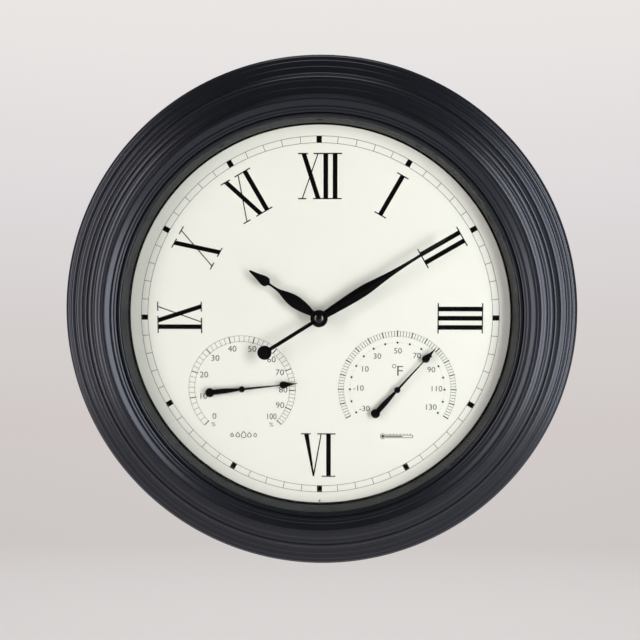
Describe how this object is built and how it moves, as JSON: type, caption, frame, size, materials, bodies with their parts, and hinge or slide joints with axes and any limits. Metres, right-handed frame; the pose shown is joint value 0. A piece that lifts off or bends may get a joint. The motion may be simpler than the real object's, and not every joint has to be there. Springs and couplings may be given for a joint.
{
  "type": "thermometer hygrometer clock",
  "caption": "Round wall clock with stepped moulded frame, glass lens, cream dial, three hands, small thermometer and hygrometer dials, and quartz movement.",
  "frame": {"origin": "middle of the wall face, on the axis of the hands", "axes": "the dial faces -Y, twelve o'clock is +Z, three o'clock is +X; the wall is the plane y = 0 and +Y points into it"},
  "size_m": [0.4572, 0.0508, 0.4572],
  "materials": {
    "frame_plastic": "satin moulded plastic, charcoal black",
    "lens_glass": "clear polished",
    "spacer_plastic": "grey, smooth",
    "dial_cream": "matt cream, printed in black",
    "hand_black": "matt black paint",
    "cover_plastic": "fine matt grain",
    "steel": "zinc plated",
    "movement_plastic": "matt black",
    "gear_plastic": "natural white, moulded",
    "brass": "turned",
    "rubber": "soft",
    "cell_sleeve": "plain sleeve",
    "board_green": "solder mask",
    "copper": "enamelled wire winding",
    "magnet": "sintered",
    "bimetal": "rolled strip"
  },
  "bodies": {
    "case": {"front_frame": "frame_plastic", "glass_lens": "lens_glass", "spacer_ring": "spacer_plastic", "dial_plate": "dial_cream", "dial_clips": "steel", "back_cover": "cover_plastic", "case_screws": "steel", "hanger_plate": "steel", "hanger_rivets": "steel", "movement_back": "movement_plastic", "movement_front": "movement_plastic", "train_plate": "movement_plastic", "threaded_bush": "brass", "hex_nut": "brass", "cushion_washer": "rubber", "battery_cell": "cell_sleeve", "battery_contacts": "steel", "circuit_board": "board_green", "quartz_crystal": "steel", "motor_stator": "steel", "motor_coil": "copper", "thermometer_cage": "steel", "hygrometer_cage": "steel", "thermometer_strip": "bimetal", "hygrometer_strip": "bimetal"},
    "minute_group": {"minute_hand": "hand_black", "centre_wheel": "gear_plastic"},
    "hour_group": {"hour_hand": "hand_black", "hour_wheel": "gear_plastic"},
    "second_group": {"second_hand": "hand_black", "hand_cap": "hand_black", "second_wheel": "gear_plastic"},
    "third": {"third_wheel": "gear_plastic"},
    "intermediate": {"intermediate_wheel": "gear_plastic"},
    "motor_rotor": {"rotor": "magnet"},
    "motion_wheel": {"minute_wheel": "gear_plastic"},
    "knob": {"setting_knob": "movement_plastic"},
    "thermometer_needle": {"thermometer_pointer": "hand_black", "thermometer_arbor": "steel"},
    "hygrometer_needle": {"hygrometer_pointer": "hand_black", "hygrometer_arbor": "steel"}
  },
  "joints": [
    {"name": "minute_hand_turn", "type": "hinge", "parent": "case", "child": "minute_group", "pos_m": [0, 0, 0], "axis": [0, 1, 0], "continuous": true},
    {"name": "hour_hand_turn", "type": "hinge", "parent": "case", "child": "hour_group", "pos_m": [0, 0, 0], "axis": [0, 1, 0], "continuous": true},
    {"name": "second_hand_turn", "type": "hinge", "parent": "case", "child": "second_group", "pos_m": [0, 0, 0], "axis": [0, 1, 0], "continuous": true},
    {"name": "third_wheel_turn", "type": "hinge", "parent": "case", "child": "third", "pos_m": [0, 0, 0.0102], "axis": [0, 1, 0], "continuous": true},
    {"name": "intermediate_wheel_turn", "type": "hinge", "parent": "case", "child": "intermediate", "pos_m": [0.0072, 0, 0], "axis": [0, 1, 0], "continuous": true},
    {"name": "rotor_turn", "type": "hinge", "parent": "case", "child": "motor_rotor", "pos_m": [0.0138, 0, 0], "axis": [0, 1, 0], "continuous": true},
    {"name": "minute_wheel_turn", "type": "hinge", "parent": "case", "child": "motion_wheel", "pos_m": [-0.008, 0, 0], "axis": [0, 1, 0], "continuous": true},
    {"name": "setting_knob_turn", "type": "hinge", "parent": "case", "child": "knob", "pos_m": [-0.016, 0, 0], "axis": [0, 1, 0], "continuous": true},
    {"name": "thermometer_needle_turn", "type": "hinge", "parent": "case", "child": "thermometer_needle", "pos_m": [0.069, 0, -0.064], "axis": [0, 1, 0], "range_deg": [-161.9, 78.1], "stiffness_Nm_per_rad": 0.005, "deforming": ["thermometer_strip"]},
    {"name": "hygrometer_needle_turn", "type": "hinge", "parent": "case", "child": "hygrometer_needle", "pos_m": [-0.069, 0, -0.064], "axis": [0, 1, 0], "range_deg": [-217.9, 49], "stiffness_Nm_per_rad": 0.005, "deforming": ["hygrometer_strip"]}
  ],
  "couplings": [
    {"joint": "hour_hand_turn", "follows": "minute_hand_turn", "ratio": 0.083333},
    {"joint": "second_hand_turn", "follows": "minute_hand_turn", "ratio": 60},
    {"joint": "third_wheel_turn", "follows": "minute_hand_turn", "ratio": -8},
    {"joint": "intermediate_wheel_turn", "follows": "minute_hand_turn", "ratio": -300},
    {"joint": "rotor_turn", "follows": "minute_hand_turn", "ratio": 1800},
    {"joint": "minute_wheel_turn", "follows": "minute_hand_turn", "ratio": -0.33333},
    {"joint": "setting_knob_turn", "follows": "minute_hand_turn", "ratio": 1}
  ]
}
